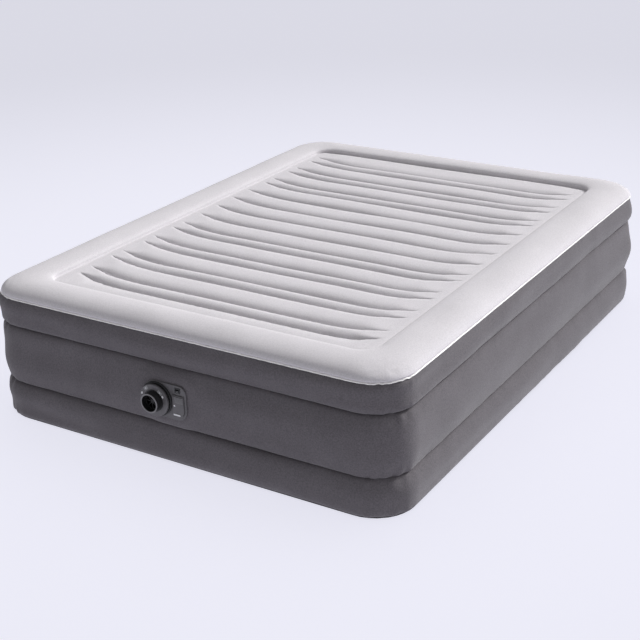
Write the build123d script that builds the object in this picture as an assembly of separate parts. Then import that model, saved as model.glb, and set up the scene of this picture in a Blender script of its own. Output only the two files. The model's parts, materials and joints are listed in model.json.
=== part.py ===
"""Queen-size raised air bed with a built-in electric pump, as an assembly of separate pieces.

Row frame, millimetres: X across the bed, Y along the bed, Z up. The origin is on the floor, in the
middle of the bed's base. The pump is in the short wall that faces -Y.

Pump pieces are drawn in the pump's own frame, with its origin on the dial's axis, at the back of the
faceplate: local x runs with +X, local y with +Z, and local z, written w in names, runs out of the bed.
"""

import os
from math import acos, degrees, radians, sin

from build123d import *

# ---------------------------------------------------------------- bed, overall
bed_width = 1520.0  # over the bulged side wall
bed_length = 2030.0
band_bulge = 18.0  # how far the lower and middle bands stand out past their weld lines
upper_bulge = 12.0
lower_band = 125.0  # heights of the three bands of the side wall
middle_band = 200.0
upper_band = 95.0
rim_rise = 40.0  # from the top weld up to the crest of the raised rim
weld_corner = 125.0  # plan radius of the weld lines at the corners
skin = 2.0  # flocked PVC sheet
seat_gap = 0.3  # between soft sheets of different bodies
bead_width = 6.0  # how far the top weld's edge stands out
bead_thick = 3.0
bead_gap = 0.1

# ---------------------------------------------------------------- sleeping surface
rim_side = 141.0  # width of the raised rim along the sides
rim_end = 132.0  # and across the two ends
recess_depth = 30.0  # from the rim's crest down to the mean level of the ribs
recess_corner = 45.0
rim_outer_round = 36.0
rim_inner_round = 24.0

# ---------------------------------------------------------------- internal webs
web_thickness = 1.2
web_end_margin = 30.0  # from the end of a weld line to the rim
narrow_pitch = 61.0  # from one weld line to the next across a narrow rib
front_margin = 80.0  # from the recess's front edge to the first weld line
far_margin = 132.5  # and from the last one to its far edge
left_sweep = 250.0  # length of each weld line's curved ends
right_sweep = 190.0
end_rise = 42.0  # how far the curved ends run towards the back
narrow_after = (0, 2, 4, 6, 12, 14, 16)  # a narrow rib follows these weld lines, counted from the pump end
weld_lines = 18
belt_width = 90.0
belt_thickness = 1.2

# ---------------------------------------------------------------- bed, derived
weld_half_x = bed_width / 2 - band_bulge
weld_half_y = bed_length / 2 - band_bulge
groove_low = lower_band
groove_high = lower_band + middle_band
seam_z = groove_high + upper_band
bed_height = seam_z + rim_rise
recess_z = bed_height - recess_depth
recess_half_x = weld_half_x - rim_side
recess_half_y = weld_half_y - rim_end
narrow_ribs = len(narrow_after)
wide_ribs = weld_lines - 1 - narrow_ribs
wide_pitch = (2 * recess_half_y - front_margin - far_margin - narrow_ribs * narrow_pitch) / wide_ribs

# ---------------------------------------------------------------- pump, placing
dial_x = -45.0
dial_z = 222.0
face_back = bed_length / 2 + 3.0  # distance of the faceplate's back from the bed's middle
panel_margin = 85.0  # of the wall panel that the pump is welded into, past each end of the faceplate

# ---------------------------------------------------------------- pump, faceplate and housing
plate_edge = 1.5  # how far the faceplate's round end stands out past the dial's bezel
plate_reach = 107.5  # from the dial's axis to the far end
plate_corner = 26.0  # upper far corner
plate_corner_low = 36.0
plate_thick = 6.0
collar_inset = 1.5
collar_wall = 2.5
collar_flange = 10.0
housing_gap = 0.3
housing_wall = 2.2
housing_depth = 150.0
housing_split = 89.0  # depth of the front half
seal_thick = 1.0
skirt_gap = 0.2
skirt_wall = 1.5
skirt_depth = 8.0

# ---------------------------------------------------------------- pump, dial
dial_hole = 42.0
dial_run = 0.5  # running clearance of the dial in the faceplate
neck_wall = 3.5
disc_lap = 10.0  # how far the dial's disc reaches past the hole
disc_back = 18.0  # distance of the disc's back from the faceplate's back
disc_thick = 6.0
bezel_width = 14.0
bezel_thick = 6.0
bezel_gap = 1.0  # from the bezel to the door of the cord compartment
retainer_lap = 4.5
retainer_thick = 3.0
nozzle_radius = 31.0
port_radius = 27.0  # bore of the nozzle's mouth
ledge_radius = 25.0
nozzle_front = 46.0
trim_thick = 2.0
port_depth = 18.0
nozzle_flange = 4.0
nozzle_flange_thick = 2.5
press_gap = 0.2
grille_thick = 3.0
grille_spokes = 8
spoke_width = 2.0
drum_radius = 34.0
drum_wall = 3.0
drum_depth = 34.0

# ---------------------------------------------------------------- pump, fan and motor
fan_clear = 9.0  # from the blades' tips to the volute's wall
fan_blades = 9
blade_thick = 1.6
volute_clear = 2.0  # from the volute to the housing's wall
volute_wall = 2.0
volute_depth = 30.0
eye_radius = 16.0
mount_thick = 3.0
motor_radius = 20.0
motor_length = 52.0
motor_wall = 2.0
shaft_radius = 2.5
shaft_run = 0.05
bush_radius = 6.0
bush_length = 6.0
magnet_thick = 4.0
magnet_half_angle = 42.0  # degrees
armature_radius = 12.0
armature_length = 30.0

# ---------------------------------------------------------------- pump, cord compartment and its door
tray_clear = 4.0  # from the bezel's edge to the compartment's side
tray_inset = 8.5
tray_foot = 11.5  # from the faceplate's lower edge to the compartment
tray_head = 36.5  # and from its upper edge
tray_depth = 58.0
tray_wall = 1.8
gland_height = 34.0  # above the compartment's foot
gland_radius = 6.0
gland_bore = 3.5
door_lap = 3.0  # how far the door covers the faceplate around its opening
door_thick = 4.0
door_float = 0.3  # gap between the closed door and the faceplate
door_round = 1.2
pin_radius = 1.0
knuckle_length = 9.0
lug_length = 7.0
hinge_gap = 0.4

# ---------------------------------------------------------------- pump, rocker switch
rocker_from_end = 29.5
rocker_from_edge = 15.0
rocker_frame_x = 20.0
rocker_frame_y = 16.0
rocker_frame_thick = 1.8
rocker_body_x = 15.5
rocker_body_y = 12.0
rocker_body_depth = 12.0
rocker_wall = 1.0
button_x = 12.6
button_y = 8.0
rocker_pivot_w = 2.0
rocker_swing = 12.0  # degrees from off to on

# ---------------------------------------------------------------- pump, check valve and screws
valve_from_end = 41.5
valve_port = 18.0
valve_seat_width = 6.0
valve_seat_thick = 2.0
valve_disc = 23.0
valve_disc_thick = 2.5
valve_rest_gap = 0.3
stem_radius = 3.0
guide_radius = 7.0
guide_length = 8.0
guide_arm = 3.0
spring_room = 20.0  # along the stem, from the guide to the clip
spring_radius = 5.5
spring_wire = 0.6
spring_turns = 5
clip_thick = 2.0
screw_radius = 1.5
screw_head = 2.8
screw_head_thick = 2.0
boss_radius = 4.5
boss_length = 14.0
screw_from_wall = 3.0  # from a post's middle to the inside of the housing's wall
screw_corner = 14.0  # far posts, from the inside of the end wall
screw_edge = 18.0  # and from the inside of the long walls

os.makedirs("parts", exist_ok=True)


def save(name, shape):
    """Writes one node; the file's name is the node's name."""
    shape.label = name
    export_step(shape, f"parts/{name}.step")


def slab(outline, low, high):
    """The outline, a sketch on the XY plane, as a solid between two heights."""
    return Pos(0, 0, low) * extrude(outline, amount=high - low)


# ================================================================ bed
def weld_outline(inset=0.0):
    """Plan outline of the weld lines, or one drawn further in."""
    return RectangleRounded(2 * (weld_half_x - inset), 2 * (weld_half_y - inset), weld_corner - inset)


def side_band(low, high, bulge):
    """One bulging band of the side wall: an arched strip of sheet that runs round the bed."""
    middle = (low + high) / 2
    inside = weld_half_x - skin
    outer = ThreePointArc((weld_half_x, low), (weld_half_x + bulge, middle), (weld_half_x, high))
    inner = ThreePointArc((inside, high), (inside + bulge, middle), (inside, low))
    top = Line(outer @ 1, inner @ 0)
    bottom = Line(inner @ 1, outer @ 0)
    profile = Plane.XZ * make_face([outer, top, inner, bottom])
    straight_x = weld_half_x - weld_corner
    straight_y = weld_half_y - weld_corner
    long_wall = extrude(Pos(0, straight_y, 0) * profile, amount=2 * straight_y)
    end_profile = Rot(0, 0, 90) * Pos(weld_half_y - weld_half_x, 0, 0) * profile
    short_wall = extrude(Pos(straight_x, 0, 0) * end_profile, amount=2 * straight_x, dir=(-1, 0, 0))
    corner_profile = Pos(weld_corner - weld_half_x, 0, 0) * profile
    corner = revolve(corner_profile, Axis.Z, revolution_arc=90)
    band = long_wall + Rot(0, 0, 180) * long_wall + short_wall + Rot(0, 0, 180) * short_wall
    for turn, sx, sy in ((0, 1, 1), (90, -1, 1), (180, -1, -1), (270, 1, -1)):
        band += Pos(sx * straight_x, sy * straight_y, 0) * Rot(0, 0, turn) * corner
    return band


def pump_wall_opening():
    """What is cut out of the front wall for the pump's collar."""
    outline = plate_outline(collar_inset - seat_gap)
    return pump_place * slab(outline, -(band_bulge + 3 * skin + 6.0), band_bulge)


def pump_panel_room():
    """Room round the length of the middle band that is a panel of its own, which the pump is welded into."""
    left = dial_x - plate_radius - panel_margin
    right = dial_x + plate_reach + panel_margin
    place = Pos((left + right) / 2, -weld_half_y, (groove_low + groove_high) / 2)
    return place * Box(right - left, weld_corner, middle_band)


def top_sheet():
    """Top sheet as a closed skin: raised rim, inner wall and sunk sleeping area, drawn without its ribs."""

    def block(inset):
        body = slab(weld_outline(inset), seam_z - inset, bed_height - inset)
        rim_edges = body.faces().sort_by(Axis.Z)[-1].edges()
        body = fillet(rim_edges, rim_outer_round - inset)
        half_x = recess_half_x + inset
        half_y = recess_half_y + inset
        hollow = RectangleRounded(2 * half_x, 2 * half_y, recess_corner + inset)
        body -= slab(hollow, recess_z - inset, bed_height + skin)
        lip = body.faces().filter_by(Plane.XY).sort_by(Axis.Z)[-1]
        return fillet(lip.inner_wires()[0].edges(), rim_inner_round - inset)

    return block(0.0) - block(skin)


def weld_bead():
    """Thin flat ring of welded edge that stands out around the bed, under the top sheet's rim."""
    ring = weld_outline(-bead_width) - weld_outline(-bead_gap)
    return slab(ring, seam_z, seam_z + bead_thick)


def weld_line_places():
    """Y of each weld line of the ribs, from the pump end to the far end."""
    y = -recess_half_y + front_margin
    places = [y]
    for line in range(weld_lines - 1):
        y += narrow_pitch if line in narrow_after else wide_pitch
        places.append(y)
    return places


def fibre_web(y):
    """An upright web that ties the top sheet to the base along one weld line, straight with curved ends."""
    half = recess_half_x - web_end_margin
    reach_left = half - left_sweep
    reach_right = half - right_sweep
    radius_left = (left_sweep**2 + end_rise**2) / (2 * end_rise)
    radius_right = (right_sweep**2 + end_rise**2) / (2 * end_rise)
    turn_left = degrees(acos(1 - end_rise / radius_left))
    turn_right = degrees(acos(1 - end_rise / radius_right))
    t = web_thickness / 2
    edges = []
    for side in (-t, t):
        edges.append(Line((-reach_left, y + side), (reach_right, y + side)))
        edges.append(CenterArc((reach_right, y + radius_right), radius_right - side, -90, turn_right))
        edges.append(CenterArc((-reach_left, y + radius_left), radius_left - side, -90, -turn_left))
    edges.append(Line(edges[1] @ 1, edges[4] @ 1))
    edges.append(Line(edges[2] @ 1, edges[5] @ 1))
    return slab(make_face(edges), skin, recess_z - skin - seat_gap)


def belt(z):
    """A flat ring of sheet that holds the side wall in along one groove."""
    inset = skin + seat_gap
    ring = weld_outline(inset) - weld_outline(inset + belt_width)
    return slab(ring, z - belt_thickness / 2, z + belt_thickness / 2)


# ================================================================ pump, derived sizes and places
neck_radius = dial_hole - dial_run
disc_radius = dial_hole + disc_lap
disc_front = disc_back + disc_thick
bezel_radius = dial_hole + bezel_width
retainer_radius = dial_hole + retainer_lap
retainer_front = -dial_run
plate_radius = bezel_radius + plate_edge
collar_depth = face_back - weld_half_y + skin  # its flange lies against the inside of the wall's weld lines
housing_outer = collar_inset + collar_wall + housing_gap
housing_inner = housing_outer + housing_wall
skirt_outer = housing_inner + skirt_gap
rear_split = housing_split + seal_thick
volute_radius = plate_radius - housing_inner - volute_clear
fan_radius = volute_radius - volute_wall - fan_clear
volute_front = drum_depth + dial_run + mount_thick  # the volute lies against the port plate
volute_back = volute_front + volute_depth
motor_front = -volute_back - mount_thick
motor_back = motor_front - motor_length
tray_left = bezel_radius + tray_clear
tray_low = tray_foot - plate_radius
tray_high = plate_radius - tray_head
gland_x = (tray_left + plate_reach - tray_inset) / 2
gland_y = tray_low + gland_height
door_back = plate_thick + door_float
hinge_w = door_back + door_thick / 2
hinge_y = tray_high + door_thick
hinge_x = (tray_left + tray_wall + plate_reach - tray_inset - tray_wall) / 2
knuckle_radius = door_thick / 2
rocker_x = plate_reach - rocker_from_end
rocker_y = plate_radius - rocker_from_edge
valve_x = plate_reach - valve_from_end
screw_slant = (plate_radius - housing_inner - screw_from_wall) * sin(radians(45))
screw_far_x = plate_reach - housing_inner - screw_corner
screw_far_y = plate_radius - housing_inner - screw_edge
screw_places = (
    (-screw_slant, screw_slant),
    (-screw_slant, -screw_slant),
    (screw_far_x, screw_far_y),
    (screw_far_x, -screw_far_y),
)

# ================================================================ pump, common shapes
pump_place = Location(Plane(origin=(dial_x, -face_back, dial_z), x_dir=(1, 0, 0), z_dir=(0, -1, 0)))


def plate_outline(inset=0.0):
    """Outline of the faceplate, or one drawn further in: round on the dial's axis, with two far corners."""
    radius = plate_radius - inset
    right = plate_reach - inset
    high = plate_corner - inset
    low = plate_corner_low - inset
    edges = [
        Line((0, radius), (right - high, radius)),
        CenterArc((right - high, radius - high), high, 0, 90),
        Line((right, radius - high), (right, low - radius)),
        CenterArc((right - low, low - radius), low, 270, 90),
        Line((right - low, -radius), (0, -radius)),
        CenterArc((0, 0), radius, 90, 180),
    ]
    return make_face(edges)


def tube(outer, inner, low, high):
    """A round ring or tube on the local Z axis."""
    return slab(Circle(outer) - Circle(inner), low, high)


def disc(radius, low, high):
    return slab(Circle(radius), low, high)


def bar(length_x, length_y, low, high):
    return slab(Rectangle(length_x, length_y), low, high)


def compartment(inset):
    """Plan outline of the cord compartment, or one drawn further in."""
    width = plate_reach
    height = tray_high - tray_low - 2 * inset
    room = Pos(tray_left + inset + width / 2, (tray_high + tray_low) / 2) * Rectangle(width, height)
    return plate_outline(tray_inset + inset) & room


# ================================================================ pump, fixed pieces


def pump_collar():
    ring = plate_outline(collar_inset) - plate_outline(collar_inset + collar_wall)
    flange = plate_outline(collar_inset - collar_flange) - plate_outline(collar_inset + collar_wall)
    return slab(ring, -collar_depth, 0) + slab(flange, -collar_depth - skin, -collar_depth)


def screw_bosses(low, high):
    """Posts for the long screws, each with the hole that its screw runs in."""
    return [Pos(x, y, 0) * tube(boss_radius, screw_radius, low, high) for x, y in screw_places]


def pump_housing():
    shell = slab(plate_outline(housing_outer) - plate_outline(housing_inner), -housing_split, 0)
    bulkhead_high = -volute_back - mount_thick
    bulkhead_low = bulkhead_high - housing_wall
    bulkhead = slab(plate_outline(housing_inner - housing_wall / 2), bulkhead_low, bulkhead_high)
    bulkhead -= disc(motor_radius + housing_gap, bulkhead_low, bulkhead_high)
    bulkhead -= Pos(valve_x, 0, 0) * disc(valve_port, bulkhead_low, bulkhead_high)
    shell += bulkhead
    for post in screw_bosses(-housing_split, bulkhead_low):
        shell += post
    return shell


def pump_rear_cover():
    wall = slab(plate_outline(housing_outer) - plate_outline(housing_inner), -housing_depth, -rear_split)
    back = slab(plate_outline(housing_outer), -housing_depth, -housing_depth + housing_wall)
    port = Pos(valve_x, 0, 0) * disc(valve_port, -housing_depth, -housing_depth + housing_wall)
    back -= port
    for x, y in screw_places:
        back -= Pos(x, y, 0) * disc(boss_radius, -housing_depth, -housing_depth + housing_wall)
    cover = wall + back + Pos(valve_x, 0, 0) * stem_guide()
    for post in screw_bosses(-housing_depth, -rear_split):
        cover += post
    return cover


def stem_guide():
    """Bush of the valve's stem, on three arms across the port."""
    low = -housing_depth
    reach = valve_port + guide_arm / 2
    guide = disc(guide_radius, low, low + guide_length)
    for arm in range(3):
        spoke = Pos(reach / 2, 0, 0) * bar(reach, guide_arm, low, low + housing_wall)
        guide += Rot(0, 0, 120 * arm) * spoke
    return guide - disc(stem_radius + shaft_run, low, low + guide_length)


def housing_seal():
    return slab(plate_outline(housing_outer) - plate_outline(housing_inner), -rear_split, -housing_split)


def faceplate():
    plate = slab(plate_outline(), 0, plate_thick)
    plate = fillet(plate.faces().sort_by(Axis.Z)[-1].edges(), plate_thick / 3)
    skirt = plate_outline(skirt_outer) - plate_outline(skirt_outer + skirt_wall)
    plate += slab(skirt, -skirt_depth, 0)
    plate -= disc(dial_hole, 0, plate_thick)
    plate -= slab(compartment(tray_wall), 0, plate_thick)
    rocker_cut = bar(rocker_body_x + press_gap, rocker_body_y + press_gap, 0, plate_thick)
    plate -= Pos(rocker_x, rocker_y, 0) * rocker_cut
    return plate + hinge_lugs()


def dial_bezel():
    ring = tube(bezel_radius, dial_hole, plate_thick, plate_thick + bezel_thick)
    return chamfer(ring.faces().sort_by(Axis.Z)[-1].edges().sort_by(SortBy.RADIUS)[-1], bezel_thick / 3)


def port_plate():
    """Fixed disc behind the selector drum, with the two ports that the drum opens or closes."""
    low = -drum_depth - dial_run - mount_thick
    high = -drum_depth - dial_run
    plate = disc(volute_radius, low, high)
    for side in (-1, 1):
        plate -= Pos(side * drum_radius / 2, 0, 0) * disc(drum_radius / 3, low, high)
    return plate


def fan_volute():
    low = -volute_back
    shell = tube(volute_radius, volute_radius - volute_wall, low, -volute_front)
    shell += tube(volute_radius, eye_radius, -volute_front - volute_wall, -volute_front)
    outlet = Pos(volute_radius, 0, 0) * bar(volute_radius, eye_radius, low, low + volute_depth / 2)
    return shell - outlet


def motor_mount():
    high = -volute_back
    low = high - mount_thick
    plate = tube(volute_radius, bush_radius + housing_gap, low, high)
    for quarter in range(4):
        vent = Pos((motor_radius + volute_radius) / 2, 0, 0) * disc(motor_radius / 3, low, high)
        plate -= Rot(0, 0, 45 + 90 * quarter) * vent
    return plate


def motor_can():
    can = tube(motor_radius, motor_radius - motor_wall, motor_back + motor_wall, motor_front)
    return can + tube(motor_radius, bush_radius, motor_front - motor_wall, motor_front)


def motor_end_bell():
    return tube(motor_radius, bush_radius, motor_back, motor_back + motor_wall)


def motor_magnets():
    """Two curved magnets inside the can, one each side of the armature."""
    outer = motor_radius - motor_wall
    middle = (motor_front + motor_back) / 2
    low = middle - armature_length / 2
    high = middle + armature_length / 2
    ring = tube(outer, outer - magnet_thick, low, high)
    window = bar(2 * outer, 2 * outer * sin(radians(magnet_half_angle)), low, high)
    return ring & window


def motor_bushes():
    front_end = motor_front + motor_wall
    bore = shaft_radius + shaft_run
    front = tube(bush_radius, bore, front_end - bush_length, front_end)
    back = tube(bush_radius, bore, motor_back, motor_back + bush_length)
    return Compound(children=[front, back])


def cord_tray():
    """Open box behind the faceplate that the mains cord is stowed in."""
    floor = -tray_depth
    tray = slab(compartment(0) - compartment(tray_wall), floor, 0)
    tray += slab(compartment(0), floor, floor + tray_wall)
    return tray - Pos(gland_x, gland_y, 0) * disc(gland_radius + press_gap, floor, floor + tray_wall)


def cord_gland():
    """Rubber bush in the compartment's floor that the mains cord would come out of."""
    inside = tray_wall - tray_depth
    gland = disc(gland_radius + tray_wall, inside, inside + tray_wall)
    gland += disc(gland_radius, -tray_depth, inside)
    gland += disc(gland_radius + tray_wall, -tray_depth - tray_wall, -tray_depth)
    return Pos(gland_x, gland_y, 0) * (gland - disc(gland_bore, -tray_depth - tray_wall, inside + tray_wall))


def rocker_housing():
    floor = -rocker_body_depth
    body = bar(rocker_body_x, rocker_body_y, floor, plate_thick)
    body += bar(rocker_frame_x, rocker_frame_y, plate_thick, plate_thick + rocker_frame_thick)
    room_x = rocker_body_x - 2 * rocker_wall
    room_y = rocker_body_y - 2 * rocker_wall
    body -= bar(room_x, room_y, floor + rocker_wall, plate_thick + rocker_frame_thick)
    return Pos(rocker_x, rocker_y, 0) * body


# ================================================================ pump, dial
def mode_dial():
    dial = tube(neck_radius, neck_radius - neck_wall, retainer_front, disc_back)
    face = tube(disc_radius, nozzle_radius + press_gap, disc_back, disc_front)
    face = fillet(face.faces().sort_by(Axis.Z)[-1].edges().sort_by(SortBy.RADIUS)[-1], disc_thick / 3)
    return dial + face


def dial_retainer():
    return tube(retainer_radius, drum_radius, retainer_front - retainer_thick, retainer_front)


def air_nozzle():
    ledge = nozzle_front + trim_thick - port_depth
    body = disc(nozzle_radius, disc_back - disc_thick, nozzle_front)
    body += disc(nozzle_radius + nozzle_flange, disc_front, disc_front + nozzle_flange_thick)
    body -= disc(port_radius, ledge, nozzle_front)
    return body - disc(ledge_radius, disc_back - disc_thick, ledge)


def nozzle_trim():
    ring = tube(nozzle_radius, port_radius, nozzle_front, nozzle_front + trim_thick)
    return fillet(ring.faces().sort_by(Axis.Z)[-1].edges().sort_by(SortBy.RADIUS)[-1], trim_thick / 2)


def nozzle_grille():
    high = nozzle_front + trim_thick - port_depth - press_gap
    low = high - grille_thick
    outer = ledge_radius - press_gap
    across = 2 * outer - spoke_width
    grille = tube(outer, outer - spoke_width, low, high) + disc(3 * spoke_width, low, high)
    for spoke in range(grille_spokes // 2):
        grille += Rot(0, 0, 360 * spoke / grille_spokes) * bar(across, spoke_width, low, high)
    return grille


def selector_drum():
    top = retainer_front - retainer_thick
    drum = tube(retainer_radius - drum_wall, drum_radius - drum_wall, top - drum_wall, top)
    drum += tube(drum_radius, drum_radius - drum_wall, -drum_depth, top - drum_wall)
    drum += disc(drum_radius, -drum_depth, -drum_depth + drum_wall)
    port = Pos(drum_radius / 2, 0, 0) * disc(drum_radius / 3, -drum_depth, -drum_depth + drum_wall)
    return drum - port


# ================================================================ pump, fan
def impeller():
    low = -volute_back + 2 * mount_thick
    blade_low = low + volute_wall
    blade_high = -volute_front - volute_wall - mount_thick
    wheel = tube(fan_radius, shaft_radius, low, blade_low)
    wheel += tube(2.4 * shaft_radius, shaft_radius, blade_low, blade_high)
    inner = 2.2 * shaft_radius
    for blade in range(fan_blades):
        span = fan_radius - inner - blade_thick
        vane = Pos(inner + span / 2, 0, 0) * bar(span, blade_thick, blade_low, blade_high)
        wheel += Rot(0, 0, 360 * blade / fan_blades) * vane
    return wheel


def motor_shaft():
    return disc(shaft_radius, motor_back - motor_wall, -volute_front - volute_wall)


def armature():
    middle = (motor_front + motor_back) / 2
    return tube(armature_radius, shaft_radius, middle - armature_length / 2, middle + armature_length / 2)


# ================================================================ pump, door of the cord compartment
def along_hinge(shape_radius, start, length):
    """A round bar on the hinge's axis, from start along local x."""
    return Pos(start, hinge_y, hinge_w) * Rot(0, 90, 0) * Cylinder(
        shape_radius, length, align=(Align.CENTER, Align.CENTER, Align.MIN)
    )


def hinge_lugs():
    """Three ears that stand on the faceplate and hold the hinge pin."""
    lugs = []
    pitch = knuckle_length + lug_length + 2 * hinge_gap
    for place in (-1, 0, 1):
        start = hinge_x + place * pitch - lug_length / 2
        foot = Pos(start + lug_length / 2, hinge_y, 0) * bar(lug_length, door_thick, plate_thick, hinge_w)
        ear = foot + along_hinge(knuckle_radius, start, lug_length)
        lugs.append(ear - along_hinge(pin_radius, start, lug_length))
    return Compound(children=lugs)


def door_hinge_pin():
    pitch = knuckle_length + lug_length + 2 * hinge_gap
    start = hinge_x - pitch - lug_length / 2
    return along_hinge(pin_radius, start, 2 * pitch + lug_length)


def cord_door():
    cover = plate_outline(tray_inset + tray_wall - door_lap)
    width = plate_reach
    low = tray_low + tray_wall - door_lap
    high = hinge_y - knuckle_radius - hinge_gap
    left = tray_left + tray_wall - door_lap
    cover &= Pos(left + width / 2, (low + high) / 2) * Rectangle(width, high - low)
    cover -= Circle(bezel_radius + bezel_gap)
    door = slab(cover, door_back, door_back + door_thick)
    door = fillet(door.faces().sort_by(Axis.Z)[-1].edges(), door_round)
    pitch = knuckle_length + lug_length + 2 * hinge_gap
    for place in (-0.5, 0.5):
        start = hinge_x + place * pitch - knuckle_length / 2
        arm_length = hinge_y - high + door_round
        arm = Pos(start + knuckle_length / 2, hinge_y - arm_length / 2, 0)
        arm *= bar(knuckle_length, arm_length, door_back, door_back + door_thick - door_round)
        door += arm + along_hinge(knuckle_radius, start, knuckle_length)
        door -= along_hinge(pin_radius + shaft_run, start, knuckle_length)
    return door


# ================================================================ pump, rocker switch
def rocker_button():
    """Rocker lying at off: its lower end is pressed in."""
    half = button_y / 2
    crest = plate_thick + rocker_frame_thick + 1.6
    valley = crest - 1.4
    outline = Polyline((-half, 0), (-half, crest), (0, valley), (half, crest), (half, 0), close=True)
    side = Plane.YZ * make_face(outline)
    button = extrude(side, amount=button_x / 2, both=True)
    tilt = Pos(0, 0, rocker_pivot_w) * Rot(rocker_swing / 2, 0, 0) * Pos(0, 0, -rocker_pivot_w)
    return Pos(rocker_x, rocker_y, 0) * tilt * button


# ================================================================ pump, check valve
def valve_seat():
    high = -housing_depth
    ring = tube(valve_port + valve_seat_width, valve_port, high - valve_seat_thick, high)
    return Pos(valve_x, 0, 0) * ring


def valve_poppet():
    """Disc and stem of the valve that lets air into the bed and shuts behind it."""
    high = -housing_depth - valve_seat_thick - valve_rest_gap
    stem_end = -housing_depth + guide_length + spring_room
    poppet = disc(valve_disc, high - valve_disc_thick, high) + disc(stem_radius, high, stem_end)
    return Pos(valve_x, 0, 0) * poppet


def valve_clip():
    low = -housing_depth + guide_length + spring_room - clip_thick
    return Pos(valve_x, 0, 0) * tube(guide_radius, stem_radius, low, low + clip_thick)


def valve_spring():
    low = -housing_depth + guide_length + spring_wire
    height = spring_room - clip_thick - 2 * spring_wire
    helix = Helix(pitch=height / spring_turns, height=height, radius=spring_radius)
    wire = sweep(Plane(origin=helix @ 0, z_dir=helix % 0) * Circle(spring_wire), path=helix)
    return Pos(valve_x, 0, low) * wire


# ================================================================ pump, screws
def housing_screws():
    """Four long screws that draw the rear cover onto the front half."""
    low = -housing_depth
    tip = -housing_split + boss_length / 2
    screws = []
    for x, y in screw_places:
        screw = disc(screw_radius, low, tip) + disc(screw_head, low - screw_head_thick, low)
        screws.append(Pos(x, y, 0) * screw)
    return Compound(children=screws)


# ================================================================ writing the nodes
save("bottom_panel", slab(weld_outline(), 0, skin))
save("side_band_lower", side_band(skin, groove_low, band_bulge))
middle_strip = side_band(groove_low, groove_high, band_bulge) - pump_wall_opening()
save("side_band_middle", middle_strip - pump_panel_room())
save("pump_wall_panel", middle_strip & pump_panel_room())
save("side_band_upper", side_band(groove_high, seam_z, upper_bulge))
save("belt_lower", belt(groove_low))
save("belt_upper", belt(groove_high))
for number, place in enumerate(weld_line_places(), start=1):
    save(f"fibre_web_{number:02d}", fibre_web(place))

save("top_panel", top_sheet())
save("top_weld_bead", weld_bead())

pump_pieces = {
    "pump_collar": pump_collar(),
    "pump_housing": pump_housing(),
    "pump_rear_cover": pump_rear_cover(),
    "housing_seal": housing_seal(),
    "faceplate": faceplate(),
    "dial_bezel": dial_bezel(),
    "port_plate": port_plate(),
    "fan_volute": fan_volute(),
    "motor_mount": motor_mount(),
    "motor_can": motor_can(),
    "motor_end_bell": motor_end_bell(),
    "motor_magnets": motor_magnets(),
    "motor_bushes": motor_bushes(),
    "cord_tray": cord_tray(),
    "cord_gland": cord_gland(),
    "rocker_housing": rocker_housing(),
    "door_hinge_pin": door_hinge_pin(),
    "valve_seat": valve_seat(),
    "housing_screws": housing_screws(),
    "mode_dial": mode_dial(),
    "dial_retainer": dial_retainer(),
    "air_nozzle": air_nozzle(),
    "nozzle_trim": nozzle_trim(),
    "nozzle_grille": nozzle_grille(),
    "selector_drum": selector_drum(),
    "impeller": impeller(),
    "motor_shaft": motor_shaft(),
    "armature": armature(),
    "cord_door": cord_door(),
    "rocker_button": rocker_button(),
    "valve_poppet": valve_poppet(),
    "valve_clip": valve_clip(),
    "valve_spring": valve_spring(),
}
for name, piece in pump_pieces.items():
    save(name, pump_place * piece)

print("bed", bed_width, bed_length, bed_height, "nodes", len(os.listdir("parts")))
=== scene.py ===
"""Looks of a raised air bed with a built-in pump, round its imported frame. Metres, +Z up, pump end at -Y."""

import json
import math

import bpy
import numpy as np
from mathutils import Matrix, Vector


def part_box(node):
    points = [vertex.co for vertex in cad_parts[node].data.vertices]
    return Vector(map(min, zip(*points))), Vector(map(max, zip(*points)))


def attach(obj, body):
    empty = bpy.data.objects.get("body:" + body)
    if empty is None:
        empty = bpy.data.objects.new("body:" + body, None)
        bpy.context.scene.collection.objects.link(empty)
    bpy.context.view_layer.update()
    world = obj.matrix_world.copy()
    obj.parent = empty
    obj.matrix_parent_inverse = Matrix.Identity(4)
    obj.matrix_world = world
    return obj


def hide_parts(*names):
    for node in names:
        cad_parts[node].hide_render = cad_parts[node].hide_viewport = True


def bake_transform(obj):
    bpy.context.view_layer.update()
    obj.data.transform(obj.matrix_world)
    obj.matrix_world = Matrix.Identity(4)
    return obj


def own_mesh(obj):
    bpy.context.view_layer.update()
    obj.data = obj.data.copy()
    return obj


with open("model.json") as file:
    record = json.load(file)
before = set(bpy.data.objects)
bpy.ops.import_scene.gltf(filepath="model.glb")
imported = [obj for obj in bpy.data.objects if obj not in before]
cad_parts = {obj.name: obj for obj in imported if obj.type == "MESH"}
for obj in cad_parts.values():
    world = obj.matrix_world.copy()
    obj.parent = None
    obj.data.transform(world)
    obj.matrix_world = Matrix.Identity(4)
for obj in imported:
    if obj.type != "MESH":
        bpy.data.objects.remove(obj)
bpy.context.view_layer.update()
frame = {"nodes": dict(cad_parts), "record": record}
scene = bpy.context.scene

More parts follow.
